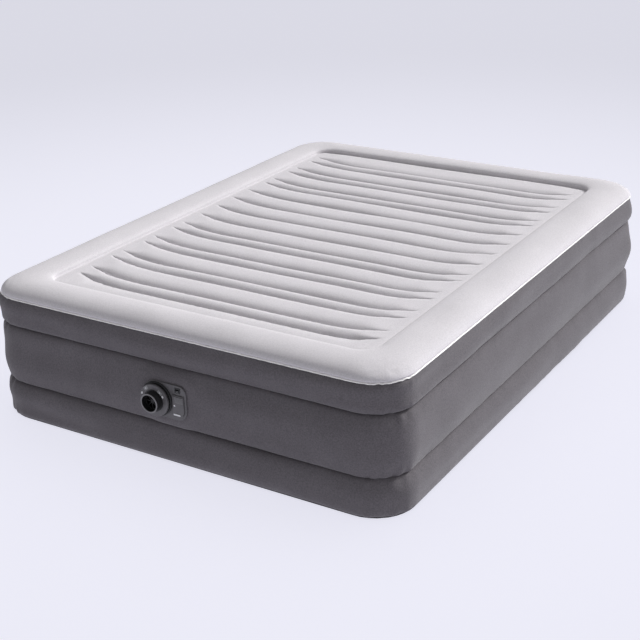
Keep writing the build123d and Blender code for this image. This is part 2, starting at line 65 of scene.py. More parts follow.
# ---------------------------------------------------------------- places that the frame gives
WELD_X, WELD_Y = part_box("bottom_panel")[1].xy  # half sizes of the weld lines' outline
BASE_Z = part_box("bottom_panel")[1].z
GROOVE_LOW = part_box("side_band_lower")[1].z
GROOVE_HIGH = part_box("side_band_middle")[1].z
SEAM_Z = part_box("side_band_upper")[1].z
TOP_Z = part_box("top_panel")[1].z
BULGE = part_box("side_band_middle")[1].x - WELD_X
UPPER_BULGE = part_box("side_band_upper")[1].x - WELD_X
WEBS = sorted(name for name in frame["nodes"] if name.startswith("fibre_web_"))
WEB_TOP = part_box(WEBS[0])[1].z
WEB_LEFT, WEB_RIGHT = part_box(WEBS[0])[0].x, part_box(WEBS[0])[1].x
WEB_THICK = 0.0012
WELD_CORNER = 0.125  # plan radius of the weld lines
RIM_SIDE, RIM_END = 0.141, 0.132  # width of the raised rim along the sides and across the ends
RECESS_X = WELD_X - RIM_SIDE  # half sizes of the sunk sleeping surface
RECESS_Y = WELD_Y - RIM_END
RECESS_CORNER = 0.058
CORE_X, CORE_Y = RECESS_X - RECESS_CORNER, RECESS_Y - RECESS_CORNER  # centres of the recess's corners

PLATE_LOW, PLATE_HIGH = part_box("faceplate")
PLATE_THICK = 0.006
DIAL_X = (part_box("mode_dial")[0].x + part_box("mode_dial")[1].x) / 2
DIAL_Z = (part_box("mode_dial")[0].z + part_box("mode_dial")[1].z) / 2
WALL_AT_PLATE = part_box("dial_bezel")[1].y + PLATE_THICK  # Y of the faceplate's back


# ---------------------------------------------------------------- mesh helpers
def smooth(t):
    t = np.clip(t, 0, 1)
    return t * t * (3 - 2 * t)


def mesh_object(name, points, faces, material, shade_smooth=True):
    """A mesh object from an array of points and an array or list of faces."""
    mesh = bpy.data.meshes.new(name)
    mesh.from_pydata(np.asarray(points, float).tolist(), [], [list(map(int, f)) for f in faces])
    mesh.update()
    mesh.polygons.foreach_set("use_smooth", np.full(len(mesh.polygons), shade_smooth))
    obj = bpy.data.objects.new(name, mesh)
    scene.collection.objects.link(obj)
    mesh.materials.append(material)
    return obj


def strip_faces(rows, columns, closed):
    """Quads between rows of points; each row has that many points, and closes on itself if asked."""
    i = np.arange(rows - 1)[:, None]
    j = np.arange(columns if closed else columns - 1)[None, :]
    k = (j + 1) % columns
    here, above = i * columns, (i + 1) * columns
    return np.stack([here + j, here + k, above + k, above + j], axis=-1).reshape(-1, 4)


def waves(points, wavelength, seed, count=22):
    """Smooth random field of about unit size over points, the same each run."""
    rng = np.random.default_rng(seed)
    points = np.asarray(points, float)
    total = np.zeros(points.shape[:-1])
    for _ in range(count):
        direction = rng.normal(size=points.shape[-1])
        direction *= 2 * math.pi / (np.linalg.norm(direction) * wavelength * rng.uniform(0.7, 1.5))
        total += np.cos(points @ direction + rng.uniform(0, 2 * math.pi))
    return total * math.sqrt(2 / count)


# ---------------------------------------------------------------- materials
NOISE_LOW, NOISE_HIGH = 0.3, 0.7  # between these lies nearly all of a noise texture's output


def node_material(name, color, roughness, **sockets):
    material = bpy.data.materials.new(name)
    material.use_nodes = True
    shader = material.node_tree.nodes["Principled BSDF"]
    shader.inputs["Base Color"].default_value = (*color, 1)
    shader.inputs["Roughness"].default_value = roughness
    for key, value in sockets.items():
        shader.inputs[key.replace("_", " ")].default_value = value
    return material


def add_noise(material, scale, detail=3.0, stretch=(1, 1, 1)):
    """A noise texture in the object's own coordinates, with its scale in cycles per metre."""
    tree = material.node_tree
    place = tree.nodes.new("ShaderNodeTexCoord")
    mapping = tree.nodes.new("ShaderNodeMapping")
    mapping.inputs["Scale"].default_value = stretch
    noise = tree.nodes.new("ShaderNodeTexNoise")
    noise.inputs["Scale"].default_value = scale
    noise.inputs["Detail"].default_value = detail
    tree.links.new(place.outputs["Object"], mapping.inputs["Vector"])
    tree.links.new(mapping.outputs["Vector"], noise.inputs["Vector"])
    return noise


def map_range(tree, from_min, from_max, to_min, to_max):
    node = tree.nodes.new("ShaderNodeMapRange")
    values = {"From Min": from_min, "From Max": from_max, "To Min": to_min, "To Max": to_max}
    for socket, value in values.items():
        node.inputs[socket].default_value = value
    return node


def tint(material, layers, color):
    """Colours the shader by several noises: each layer is (noise, darkest share, brightest share)."""
    tree = material.node_tree
    shader = tree.nodes["Principled BSDF"]
    last = None
    for noise, low, high in layers:
        ramp = map_range(tree, NOISE_LOW, NOISE_HIGH, low, high)
        tree.links.new(noise.outputs["Fac"], ramp.inputs["Value"])
        if last is None:
            last = ramp.outputs["Result"]
            continue
        product = tree.nodes.new("ShaderNodeMath")
        product.operation = "MULTIPLY"
        tree.links.new(last, product.inputs[0])
        tree.links.new(ramp.outputs["Result"], product.inputs[1])
        last = product.outputs["Value"]
    mix = tree.nodes.new("ShaderNodeVectorMath")
    mix.operation = "SCALE"
    mix.inputs[0].default_value = color
    tree.links.new(last, mix.inputs["Scale"])
    tree.links.new(mix.outputs["Vector"], shader.inputs["Base Color"])


def bump(material, layers):
    """Chains bumps: each layer is (noise, height in metres, strength)."""
    tree = material.node_tree
    normal = None
    for noise, height, strength in layers:
        node = tree.nodes.new("ShaderNodeBump")
        node.inputs["Distance"].default_value = height
        node.inputs["Strength"].default_value = strength
        tree.links.new(noise.outputs["Fac"], node.inputs["Height"])
        if normal is not None:
            tree.links.new(normal, node.inputs["Normal"])
        normal = node.outputs["Normal"]
    tree.links.new(normal, tree.nodes["Principled BSDF"].inputs["Normal"])


def flocking(name, color, sheen, mottle, pile):
    """Velvet-like flocked vinyl; mottle and pile are the contrasts of its broad patches and its speckle."""
    material = node_material(
        name, color, 0.92, Specular_IOR_Level=0.18, Sheen_Weight=sheen, Sheen_Roughness=0.45
    )
    patches = add_noise(material, 9, 4)
    speckle = add_noise(material, 240, 3)
    grain = add_noise(material, 1200, 2)
    layers = [(patches, 1 - mottle, 1 + mottle), (speckle, 1 - pile, 1 + pile), (grain, 0.94, 1.06)]
    tint(material, layers, color)
    bump(material, [(speckle, 0.0010, 0.35), (grain, 0.0005, 0.5)])
    return material


def moulded(name, color, roughness, grain_height=0.00012, **sockets):
    """Moulded plastic with a fine spark-eroded grain and faint handling marks."""
    material = node_material(name, color, roughness, **sockets)
    wear = add_noise(material, 60, 4)
    grain = add_noise(material, 2200, 2)
    tint(material, [(wear, 0.88, 1.12)], color)
    bump(material, [(grain, grain_height, 0.6)])
    return material


def metal(name, color, roughness, stretch=(1, 1, 1)):
    material = node_material(name, color, roughness, Metallic=1.0)
    brushed = add_noise(material, 300, 3, stretch)
    tint(material, [(brushed, 0.85, 1.1)], color)
    bump(material, [(brushed, 0.00005, 0.4)])
    return material


wall_cloth = flocking("wall_flocking", (0.128, 0.118, 0.127), 0.20, 0.06, 0.18)
top_cloth = flocking("top_flocking", (0.67, 0.645, 0.67), 0.10, 0.02, 0.07)
base_vinyl = moulded("base_sheet", (0.06, 0.056, 0.06), 0.5)
web_cloth = moulded("web_sheet", (0.50, 0.50, 0.53), 0.6)
bead_vinyl = moulded("weld_bead", (0.97, 0.95, 0.93), 0.3)
collar_vinyl = moulded("collar_vinyl", (0.05, 0.047, 0.05), 0.42)
grey_plastic = moulded("grey_plastic", (0.11, 0.105, 0.11), 0.38)
black_plastic = moulded("black_plastic", (0.010, 0.010, 0.011), 0.45)
gloss_black = moulded("gloss_black", (0.006, 0.006, 0.007), 0.12, 0.00002)
trim_grey = moulded("trim_grey", (0.20, 0.195, 0.20), 0.4)
seal_rubber = moulded("seal_rubber", (0.015, 0.015, 0.016), 0.75)
steel = metal("steel", (0.56, 0.56, 0.57), 0.3)
motor_steel = metal("motor_steel", (0.45, 0.45, 0.46), 0.35, (1, 0.05, 1))
magnet_grey = moulded("magnet_grey", (0.05, 0.05, 0.055), 0.6)
bronze_bush = metal("bronze_bush", (0.6, 0.42, 0.2), 0.45)
copper_armature = metal("copper_armature", (0.55, 0.27, 0.13), 0.35, (0.05, 1, 0.05))
print_white = moulded("print_white", (0.75, 0.75, 0.76), 0.5, 0.00002)
print_grey = moulded("print_grey", (0.27, 0.27, 0.275), 0.5, 0.00002)


# ---------------------------------------------------------------- outlines in plan
class Outline:
    """Points round a rounded rectangle: each has a place on its core, from -1 to 1, and a direction."""

    def __init__(self, core, direction):
        self.core = np.asarray(core, float)
        self.direction = np.asarray(direction, float)

    def at(self, half_x, half_y, radius, out=0.0):
        """The outline's points at some size. out is an extra distance outwards, one or one a point."""
        out = np.asarray(out, float).reshape(-1, 1)
        core = self.core * (half_x - radius, half_y - radius)
        return core + self.direction * (radius + out)


def even_outline(count):
    """An outline with its points evenly spaced along the weld lines."""
    straight_x = 2 * (WELD_X - WELD_CORNER)
    straight_y = 2 * (WELD_Y - WELD_CORNER)
    arc = WELD_CORNER * math.pi / 2
    lengths = [straight_x, arc, straight_y, arc] * 2
    ends = np.cumsum([0] + lengths)
    corners = [(-1, -1), (1, -1), (1, 1), (-1, 1)]
    core, direction = [], []
    for s in (np.arange(count) + 0.5) * ends[-1] / count:
        stretch = int(np.searchsorted(ends, s, side="right")) - 1
        t = (s - ends[stretch]) / lengths[stretch]
        side = stretch // 2
        here, following = corners[side], corners[(side + 1) % 4]
        angle = -math.pi / 2 + side * math.pi / 2
        if stretch % 2 == 0:
            core.append((here[0] + (following[0] - here[0]) * t, here[1] + (following[1] - here[1]) * t))
        else:
            angle += t * math.pi / 2
            core.append(following)
        direction.append((math.cos(angle), math.sin(angle)))
    return Outline(core, direction)


def cornerness(outline):
    """1 in the corners, 0 along the straight walls."""
    full_from = 0.35  # the smaller share of the direction at which a corner counts in full
    return np.clip(np.abs(outline.direction).min(axis=1) / full_from, 0, 1)


# ---------------------------------------------------------------- the ribs' weld lines
def web_line():
    """The curve that every web follows, read off the first one: X places, and Y past the flat middle."""
    points = np.array([v.co for v in frame["nodes"][WEBS[0]].data.vertices])
    points = points[points[:, 2] > WEB_TOP - 1e-4]
    places, back = np.unique(points[:, 0].round(4), return_inverse=True)
    lines = np.bincount(back, points[:, 1]) / np.bincount(back)
    return places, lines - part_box(WEBS[0])[0].y - WEB_THICK / 2


LINE_X, LINE_RISE = web_line()
FLAT = [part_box(name)[0].y + WEB_THICK / 2 for name in WEBS]  # Y of each weld line in its flat middle


def line_rise(x):
    """How far the weld lines curve towards the far end, at each x, and less steeply past their ends."""
    carry_on = 0.5
    slope_left = (LINE_RISE[4] - LINE_RISE[0]) / (LINE_X[4] - LINE_X[0])
    slope_right = (LINE_RISE[-1] - LINE_RISE[-5]) / (LINE_X[-1] - LINE_X[-5])
    rise = np.interp(x, LINE_X, LINE_RISE)
    rise += np.minimum(x - LINE_X[0], 0) * slope_left * carry_on
    return rise + np.maximum(x - LINE_X[-1], 0) * slope_right * carry_on


# ---------------------------------------------------------------- the ribbed sleeping surface
WELD_Z = WEB_TOP - 0.0005  # height of the weld lines
RIM_FOOT_Z = 0.4262
NARROW_GAP = 0.08  # ribs closer together than this are narrow ones
WIDE_CREST, NARROW_CREST = 0.0175, 0.0160  # heights above the weld lines
FIRST_CREST, LAST_CREST, MARGIN_CREST = 0.0115, 0.0150, 0.0125
WIDE_FLATNESS, NARROW_FLATNESS, END_FLATNESS = 3.0, 2.0, 7  # powers: a higher one gives a flatter crest
PILLOW_POWER = 0.62  # a lower one gives steeper flanks
SIDE_CREASE, FRONT_CREASE, BACK_CREASE = 0.22, 0.35, 0.75  # share of the margin's height lost at its edge
SIDE_CREASE_WIDTH, END_CREASE_WIDTH = 0.030, 0.034
TAPER = 0.085  # the weld lines thin out over this length before their ends
TIP, TIP_DEPTH = 0.014, 0.42  # a weld line's tip is this long, and starts at this share of the depth
CREST_CHANGE, STAGGER = 0.05, 0.006  # how much the ribs differ in height, as a share, and in length
PUCKER, PUCKER_WAVE, PUCKER_REACH = 0.0007, 0.024, 0.008  # small pleats along the weld lines
FIRST_CELLS, NARROW_CELLS, WIDE_CELLS, LAST_CELLS = 16, 14, 20, 26
FIELD_COLUMNS = 156


def crowded(count, strength=0.75):
    """Places from 0 to 1, closer together at both ends."""
    t = np.linspace(0, 1, count + 1)
    return t * (1 - strength) + strength * (1 - np.cos(math.pi * t)) / 2


STOPS = np.array([-RECESS_Y, *FLAT, RECESS_Y])


def field_rows():
    """Y of each row of the sleeping surface in the flat middle."""
    rows = [-RECESS_Y]
    for k, gap in enumerate(np.diff(STOPS)):
        cells = NARROW_CELLS if gap < NARROW_GAP else WIDE_CELLS
        cells = {0: FIRST_CELLS, len(STOPS) - 2: LAST_CELLS}.get(k, cells)
        rows += list(STOPS[k] + gap * crowded(cells)[1:])
    return np.array(rows)


def field_height(x, y, flat_y):
    """Height of the sleeping surface: pillowed ribs, and a plain margin past the weld lines' ends."""
    last = len(STOPS) - 2
    k = np.clip(np.searchsorted(STOPS, flat_y, side="right") - 1, 0, last)
    gap = np.diff(STOPS)[k]
    s = (flat_y - STOPS[k]) / gap
    crest = np.where(gap < NARROW_GAP, NARROW_CREST, WIDE_CREST)
    crest = np.where(k == 0, FIRST_CREST, crest)
    crest = np.where(k == last, LAST_CREST, crest)
    # k times an odd step gives each rib waves of its own, here and below
    crest = crest * (1 + CREST_CHANGE * waves(np.stack([x, k * 0.31], -1), 0.45, 5))

    stagger = STAGGER * waves(np.stack([np.sign(x), k * 0.77], -1), 0.9, 6)
    to_end = np.minimum(x - WEB_LEFT, WEB_RIGHT - x) + stagger
    open_share = smooth(to_end / TAPER)
    depth = smooth(to_end / TIP) * (TIP_DEPTH + (1 - TIP_DEPTH) * open_share)
    flatness = np.where(gap < NARROW_GAP, NARROW_FLATNESS, WIDE_FLATNESS) + END_FLATNESS * (1 - open_share)
    side = np.abs(2 * s - 1)
    side = np.where(k == 0, np.maximum(2 * s - 1, 0), side)
    side = np.where(k == last, np.maximum(1 - 2 * s, 0), side)
    pillow = (1 - side**flatness) ** PILLOW_POWER
    plateau = MARGIN_CREST + (crest - MARGIN_CREST) * open_share
    edge = np.minimum(s, 1 - s) * gap
    pucker = waves(np.stack([x, k * 0.7 + (s > 0.5) * 0.35], -1), PUCKER_WAVE, 8)
    pucker = pucker * np.exp(-edge / PUCKER_REACH) * depth
    height = plateau * (1 - depth * (1 - pillow)) + PUCKER * pucker

    near_side = np.clip((RECESS_X - np.abs(x)) / SIDE_CREASE_WIDTH, 0, 1)
    near_end = np.clip((RECESS_Y - np.abs(y)) / END_CREASE_WIDTH, 0, 1)
    side_drop = 1 - SIDE_CREASE * (1 - np.sqrt(1 - (1 - near_side) ** 2))
    end_crease = np.where(y < 0, FRONT_CREASE, BACK_CREASE)
    round_off = side_drop * (1 - end_crease * (1 - np.sqrt(1 - (1 - near_end) ** 2)))
    foot = smooth(np.minimum(near_side, near_end))
    return RIM_FOOT_Z + (WELD_Z - RIM_FOOT_Z) * foot + height * round_off


def gentle(t):
    """From 0 to 1, less steep in the middle than smooth."""
    t = np.clip(t, 0, 1)
    return (t + smooth(t)) / 2


def field_grid(coarser=1):
    """Plan places of the sleeping surface's grid, with rows that follow the weld lines."""
    columns = np.linspace(-RECESS_X, RECESS_X, FIELD_COLUMNS // coarser + 1)
    x, flat_y = np.meshgrid(columns, field_rows()[::coarser], indexing="ij")
    share = gentle((flat_y + CORE_Y) / (FLAT[0] + CORE_Y)) * gentle((CORE_Y - flat_y) / (CORE_Y - FLAT[-1]))
    y = flat_y + line_rise(x) * share
    # the corners are pulled in to round ones
    a = np.clip((np.abs(x) - CORE_X) / RECESS_CORNER, 0, 1)
    b = np.clip((np.abs(flat_y) - CORE_Y) / RECESS_CORNER, 0, 1)
    corner = (a > 0) & (b > 0)
    x = np.where(corner, np.sign(x) * (CORE_X + RECESS_CORNER * a * np.sqrt(1 - b * b / 2)), x)
    y = np.where(corner, np.sign(y) * (CORE_Y + RECESS_CORNER * b * np.sqrt(1 - a * a / 2)), y)
    return x, y, flat_y


def field_faces(x):
    """Quads of the sleeping surface's grid, facing up."""
    return strip_faces(x.shape[0], x.shape[1], False)[:, [0, 3, 2, 1]]


def border(array):
    """The grid's border values, anticlockwise from its lowest corner."""
    return np.concatenate([array[:-1, 0], array[-1, :-1], array[:0:-1, -1], array[0, :0:-1]])


def field_outline(x, y):
    """Round the grid's border: its points' numbers, their places, and the outline that they lie on."""
    index = border(np.arange(x.size).reshape(x.shape))
    inner = np.stack([border(x), border(y)], -1)
    core = np.clip(inner, (-CORE_X, -CORE_Y), (CORE_X, CORE_Y))
    away = inner - core
    away = away / np.maximum(np.linalg.norm(away, axis=1, keepdims=True), 1e-9)
    return index, inner, Outline(core / (CORE_X, CORE_Y), away)


# ---------------------------------------------------------------- the top sheet
RIM_RINGS = 38
RIM_CREST = 0.42  # share of the rim's width at which it is highest
RIM_TOP_Z = TOP_Z - 0.0012
RIM_INNER_POWER, RIM_OUTER_POWER = 0.42, 0.86  # a lower one gives a squarer shoulder
RIM_FLARE, FLARE_FROM = 0.0045, 0.004  # it stands this far out over the bead, from this far above the seam
RIM_OVER_SEAM = 0.002
RIM_SWELL, RIM_SWELL_WAVE = 0.0011, 0.30
RIM_PLEAT, RIM_PLEAT_WAVE = 0.0012, 0.022  # at its outer foot, in the corners
SEAM_FALL_OFF = 7  # a higher one keeps pleats and flare closer to the seam


def rim_profile():
    """Section of the raised rim, from its inner foot to the weld: share of its width, and height."""
    share, height = [], []
    for t in np.linspace(0, 1, RIM_RINGS):
        angle = math.pi * (t - 0.5)
        inner = angle < 0
        power = RIM_INNER_POWER if inner else RIM_OUTER_POWER
        foot = RIM_FOOT_Z if inner else SEAM_Z + RIM_OVER_SEAM
        share.append(RIM_CREST + math.sin(angle) * (RIM_CREST if inner else 1 - RIM_CREST))
        height.append(foot + (RIM_TOP_Z - foot) * max(math.cos(angle), 0) ** power)
    return np.array(share), np.array(height)


def rim_rings(inner, outer, foot_z, outline):
    """Rings of points from the recess's border to the weld, rising from foot_z over the rim's crest."""
    share, height = rim_profile()
    corner = cornerness(outline)
    rings = []
    for f, h in zip(share[1:], height[1:]):
        ring = np.column_stack([inner + (outer - inner) * f, np.full(len(inner), h)])
        if f < RIM_CREST:
            climb = (h - RIM_FOOT_Z) / (height.max() - RIM_FOOT_Z)
            ring[:, 2] = foot_z + (height.max() - foot_z) * climb
        swell = waves(ring * (1, 1, 0), RIM_SWELL_WAVE, 21)
        pleat = waves(ring * (1, 1, 0), RIM_PLEAT_WAVE, 22) * corner
        near_seam = math.exp(-(1 - f) * SEAM_FALL_OFF)
        ring[:, 2] += RIM_SWELL * swell * math.sin(math.pi * f)
        ring[:, 2] += RIM_PLEAT * pleat * near_seam * (1 - near_seam) * 2
        ring[:, :2] += outline.direction * (RIM_FLARE * near_seam * (h > SEAM_Z + FLARE_FROM))
        rings.append(ring)
    return rings


def build_top():
    """Top sheet: the ribbed sleeping surface and the raised rim round it, in one mesh."""
    x, y, flat_y = field_grid()
    z = field_height(x, y, flat_y)
    index, inner, outline = field_outline(x, y)
    outer = outline.at(WELD_X, WELD_Y, WELD_CORNER)
    rings = rim_rings(inner, outer, border(z), outline)
    points = [np.stack([x.ravel(), y.ravel(), z.ravel()], -1), *rings]
    count = len(index)
    ids = np.concatenate([[index], x.size + np.arange(len(rings) * count).reshape(-1, count)])
    k = np.roll(np.arange(count), -1)
    rim = np.stack([ids[:-1], ids[1:], ids[1:][:, k], ids[:-1][:, k]], -1).reshape(-1, 4)
    top = mesh_object("top_sheet", np.concatenate(points), np.concatenate([field_faces(x), rim]), top_cloth)
    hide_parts("top_panel")
    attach(top, "top")


# ---------------------------------------------------------------- the side wall
WALL_POINTS = 1240
wall_outline = even_outline(WALL_POINTS)
WALL_FULLNESS, FOOT_FULLNESS = 2.5, 5.5  # powers: a higher one gives a flatter bulge
WALL_POWER = 0.70  # a lower one gives sharper grooves
PLATE_UPPER_CORNER, PLATE_LOWER_CORNER = 0.026, 0.036  # at its right end; the left end is a half round
PLATE_HOLE = -0.0012  # the wall ends this far inside the faceplate's edge
PLATE_FLAT, PLATE_EASE = 0.004, 0.050  # it lies flat this far round the plate, then eases out to its bulge
GROOVE_CREASE = 0.005  # the belts pull the two grooves this far in past the weld lines
GROOVE_WIDTH = 0.0045
ROW_CROWDING = 0.6  # how much closer together the rows of points are near the grooves
PLEAT, CORNER_PLEAT, PLEAT_WAVE = 0.0003, 0.0024, 0.030  # along the welds; deeper in the corners
BROAD_PLEAT, BROAD_WAVE = 0.0007, 0.11
PLEAT_REACH, PLEAT_START = 0.016, 0.003  # the pleats fade over the one, and begin over the other
SLOW, SLOW_WAVE = 0.0014, 0.34
STREAK, STREAK_WAVE, STREAK_LENGTHWISE = 0.0023, 0.085, 0.10  # ten times as long as they're high


def plate_distance(x, z):
    """Distance outside the faceplate's outline, in the plane of the end wall; negative inside it."""
    middle_x, middle_z = (PLATE_LOW.x + PLATE_HIGH.x) / 2, (PLATE_LOW.z + PLATE_HIGH.z) / 2
    half_x, half_z = (PLATE_HIGH.x - PLATE_LOW.x) / 2, (PLATE_HIGH.z - PLATE_LOW.z) / 2
    u, v = x - middle_x, z - middle_z
    radius = np.where(u < 0, half_z, np.where(v > 0, PLATE_UPPER_CORNER, PLATE_LOWER_CORNER))
    dx, dz = np.abs(u) - half_x + radius, np.abs(v) - half_z + radius
    outside = np.hypot(np.maximum(dx, 0), np.maximum(dz, 0))
    return np.minimum(np.maximum(dx, dz), 0) + outside - radius


def wall_out(z, low, high, bulge, along, corner, first_seed):
    """How far the wall stands out past the weld lines at height z, in the band from low to high."""
    s = np.clip((z - (low + high) / 2) / ((high - low) / 2), -1, 1)
    fullness = FOOT_FULLNESS if low == BASE_Z and s < 0 else WALL_FULLNESS
    out = bulge * (1 - abs(s) ** fullness) ** WALL_POWER
    edge = min(z - low, high - z)
    near = math.exp(-edge / PLEAT_REACH)
    fine = waves(along, PLEAT_WAVE, first_seed) * (PLEAT + CORNER_PLEAT * corner)
    broad = waves(along, BROAD_WAVE, first_seed + 1) * BROAD_PLEAT
    pleat = (fine + broad) * near * (1 - math.exp(-edge / PLEAT_START))
    spread = np.column_stack([along, np.full(len(along), z)])
    slow = waves(spread, SLOW_WAVE, first_seed + 2) * SLOW
    lengthwise = spread * (STREAK_LENGTHWISE, STREAK_LENGTHWISE, 1)
    streak = waves(lengthwise, STREAK_WAVE, first_seed + 3) * STREAK
    # only the welds between two bands are grooves, not those at the base and the seam
    to_groove = min(z - low if low > BASE_Z else high - low, high - z if high < SEAM_Z else high - low)
    crease = GROOVE_CREASE * math.exp(-to_groove / GROOVE_WIDTH)
    return out + pleat + (slow + streak) * (1 - abs(s) ** 4) - crease


def build_band(name, low, high, cells, bulge, seed):
    """One band of the side wall. The middle one opens for the pump, and lies flat round its faceplate."""
    plan = wall_outline.at(WELD_X, WELD_Y, WELD_CORNER)
    corner = cornerness(wall_outline)
    rows = []
    for z in low + (high - low) * crowded(cells, ROW_CROWDING):
        out = wall_out(z, low, high, bulge, plan, corner, seed)
        place = wall_outline.at(WELD_X, WELD_Y, WELD_CORNER, out)
        rows.append(np.column_stack([place, np.full(len(place), z)]))
    points = np.concatenate(rows)
    faces = strip_faces(cells + 1, WALL_POINTS, True)
    away = plate_distance(points[:, 0], points[:, 2])
    front = points[:, 1] < -WELD_Y * 0.9
    flat = np.where(front, 1 - smooth((away - PLATE_FLAT) / PLATE_EASE), 0)
    points[:, 1] += (WALL_AT_PLATE - points[:, 1]) * flat
    if name == "wall_middle":
        faces = open_for_pump(points, faces, away, front)
    return points, faces


def open_for_pump(points, faces, away, front):
    """Takes out the wall behind the faceplate, and brings the hole's edge to the collar."""
    hole = (away[faces].mean(axis=1) < PLATE_HOLE) & front[faces].all(axis=1)
    cut, kept = faces[hole], faces[~hole]
    edge = np.intersect1d(cut.ravel(), kept.ravel())
    step = 1e-4
    for _ in range(3):
        x, z = points[edge, 0], points[edge, 2]
        here = plate_distance(x, z)
        slope_x = (plate_distance(x + step, z) - here) / step
        slope_z = (plate_distance(x, z + step) - here) / step
        points[edge, 0] -= (here - PLATE_HOLE) * slope_x
        points[edge, 2] -= (here - PLATE_HOLE) * slope_z
    return kept


def drop_loose(points, faces):
    """The same mesh without the points that no face uses."""
    used = np.unique(faces)
    place = np.full(len(points), -1)
    place[used] = np.arange(len(used))
    return points[used], place[faces]


def build_walls():
    """The three bands. The middle one goes with the pump's band; the lower and upper ones belong to no body.
    """
    made = []
    bands = [
        ("wall_lower", ("side_band_lower",), BASE_Z, GROOVE_LOW, 26, BULGE, 31),
        ("wall_middle", ("side_band_middle", "pump_wall_panel"), GROOVE_LOW, GROOVE_HIGH, 40, BULGE, 41),
        ("wall_upper", ("side_band_upper",), GROOVE_HIGH, SEAM_Z, 22, UPPER_BULGE, 51),
    ]
    for name, nodes, low, high, cells, bulge, seed in bands:
        points, faces = build_band(name, low, high, cells, bulge, seed)
        points, faces = drop_loose(points, faces)
        band = mesh_object(name, points, faces, wall_cloth)
        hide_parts(*nodes)
        made.append(band)
    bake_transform(made[0])
    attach(made[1], "pump_band")
    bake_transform(made[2])


def build_bead():
    """The weld bead between the wall and the top: a thin cord all round, wavy in the corners."""
    sides = 8
    radius_out, radius_up = 0.0036, 0.0023  # of its oval section
    offset, lift = 0.0024, 0.0014  # of its middle from the weld line
    wobble = 0.0007
    plan = wall_outline.at(WELD_X, WELD_Y, WELD_CORNER)
    middle_z = SEAM_Z + lift + waves(plan, 0.024, 61) * wobble * (0.25 + cornerness(wall_outline))
    rows = []
    for k in range(sides):
        angle = 2 * math.pi * k / sides
        place = wall_outline.at(WELD_X, WELD_Y, WELD_CORNER, offset + radius_out * math.cos(angle))
        rows.append(np.column_stack([place, middle_z + radius_up * math.sin(angle)]))
    faces = strip_faces(sides + 1, WALL_POINTS, True) % (sides * WALL_POINTS)
    bead = mesh_object("top_bead", np.concatenate(rows), faces, bead_vinyl)
    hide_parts("top_weld_bead")
    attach(bead, "top")


# ---------------------------------------------------------------- base sheet, belts and webs
WELD_FLANGE = 0.003  # the base sheet's welded edge stands this far out
DENT, DENT_WIDTH, DENT_FADE = 0.0035, 0.008, 0.03  # of the webs' weld lines in the base sheet
WEB_COLUMNS, WEB_ROWS = 120, 16
WEB_SLACK, WEB_WAVE = 0.004, 0.12
BELT_WIDTH, BELT_ROWS, BELT_SAG = 0.090, 9, 0.003


def build_base():
    """Base sheet, with the webs' weld lines pressed up into it and a welded edge."""
    x, y, flat_y = field_grid(2)
    to_line = np.abs(flat_y[..., None] - np.array(FLAT)).min(axis=-1)
    within = smooth(np.minimum(x - WEB_LEFT, WEB_RIGHT - x) / DENT_FADE)
    lift = DENT * np.exp(-to_line / DENT_WIDTH) * within
    upper = np.stack([x.ravel(), y.ravel(), BASE_Z + lift.ravel() * 0.5], -1)
    lower = upper.copy()
    lower[:, 2] = lift.ravel()
    index, _, outline = field_outline(x, y)
    outer = outline.at(WELD_X, WELD_Y, WELD_CORNER, WELD_FLANGE)
    count, n = len(index), x.size
    rim_low = np.column_stack([outer, np.zeros(count)])
    rim_high = np.column_stack([outer, np.full(count, BASE_Z)])
    points = np.concatenate([upper, lower, rim_high, rim_low])
    k = np.roll(np.arange(count), -1)
    high_ids, low_ids = 2 * n + np.arange(count), 2 * n + count + np.arange(count)
    quads = field_faces(x)
    faces = [
        quads,
        quads[:, ::-1] + n,
        np.stack([index, high_ids, high_ids[k], index[k]], -1),
        np.stack([high_ids, low_ids, low_ids[k], high_ids[k]], -1),
        np.stack([low_ids, index + n, index[k] + n, low_ids[k]], -1),
    ]
    base = mesh_object("base_sheet", points, np.concatenate(faces), base_vinyl)
    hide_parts("bottom_panel")
    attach(base, "base")


def thicken(obj, thickness):
    """Makes a sheet solid, with half of its thickness on each side."""
    solid = obj.modifiers.new("thickness", "SOLIDIFY")
    solid.thickness = thickness
    solid.offset = 0
    bpy.context.view_layer.objects.active = obj
    with bpy.context.temp_override(object=obj, active_object=obj):
        bpy.ops.object.modifier_apply(modifier=solid.name)


def build_webs():
    """Upright webs from the base to each weld line, a little slack between their welded edges."""
    columns = np.linspace(WEB_LEFT, WEB_RIGHT, WEB_COLUMNS)
    heights = np.linspace(BASE_Z + 0.001, WEB_TOP - 0.002, WEB_ROWS)
    x, z = np.meshgrid(columns, heights, indexing="ij")
    places = np.stack([x, z], -1).reshape(-1, 2)
    slack = WEB_SLACK * np.sin(math.pi * (z - BASE_Z) / (WEB_TOP - BASE_Z))
    faces = strip_faces(WEB_COLUMNS, WEB_ROWS, False)
    length = float(np.hypot(np.diff(columns), np.diff(line_rise(columns))).sum())
    for number, (node, flat_y) in enumerate(zip(WEBS, FLAT)):
        y = flat_y + line_rise(x) + slack * waves(places, WEB_WAVE, 70 + number).reshape(x.shape)
        points = np.stack([x.ravel(), y.ravel(), z.ravel()], -1)
        web = mesh_object(f"web_{number + 1:02d}", points, faces, web_cloth)
        thicken(web, WEB_THICK)
        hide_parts(node)
        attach(web, "base")
        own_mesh(web)


